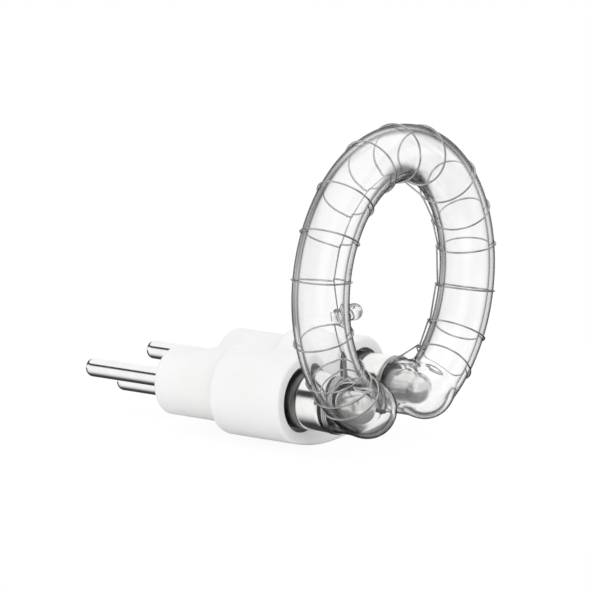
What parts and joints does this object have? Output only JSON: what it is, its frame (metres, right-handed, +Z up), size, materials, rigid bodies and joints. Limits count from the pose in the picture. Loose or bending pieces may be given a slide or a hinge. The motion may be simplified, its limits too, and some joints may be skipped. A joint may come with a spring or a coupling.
{
  "type": "xenon flash tube",
  "caption": "Ring-shaped clear glass flash tube with a wound trigger wire, seated by two legs in a white ceramic base with contact pins.",
  "frame": {"origin": "midway between the two main pins, on the flat rear end face of the ceramic base", "axes": "+Y along the base from the pins to the glass ring, +Z up with the trigger pin below the main pins, X across the two legs"},
  "size_m": [0.0645, 0.0778, 0.0678],
  "materials": {
    "ceramic": "white fired ceramic, smooth and matt",
    "pin_metal": "plated and polished contact pins",
    "clear_glass": "clear blown tube, fire polished",
    "wire_metal": "thin bare nickel alloy wire",
    "rod_metal": "dark drawn tungsten rod",
    "electrode_metal": "satin turned metal with a smooth nose",
    "ferrule_metal": "thin bright metal sleeve",
    "cement": "dull grey set cement"
  },
  "bodies": {
    "root": {"ceramic_base": "ceramic", "trigger_pin": "pin_metal", "glass_tube": "clear_glass", "trigger_wire": "wire_metal", "main_pin_left": "pin_metal", "lead_rod_left": "rod_metal", "electrode_left": "electrode_metal", "ferrule_left": "ferrule_metal", "cement_ring_left": "cement", "main_pin_right": "pin_metal", "lead_rod_right": "rod_metal", "electrode_right": "electrode_metal", "ferrule_right": "ferrule_metal", "cement_ring_right": "cement"}
  },
  "joints": []
}
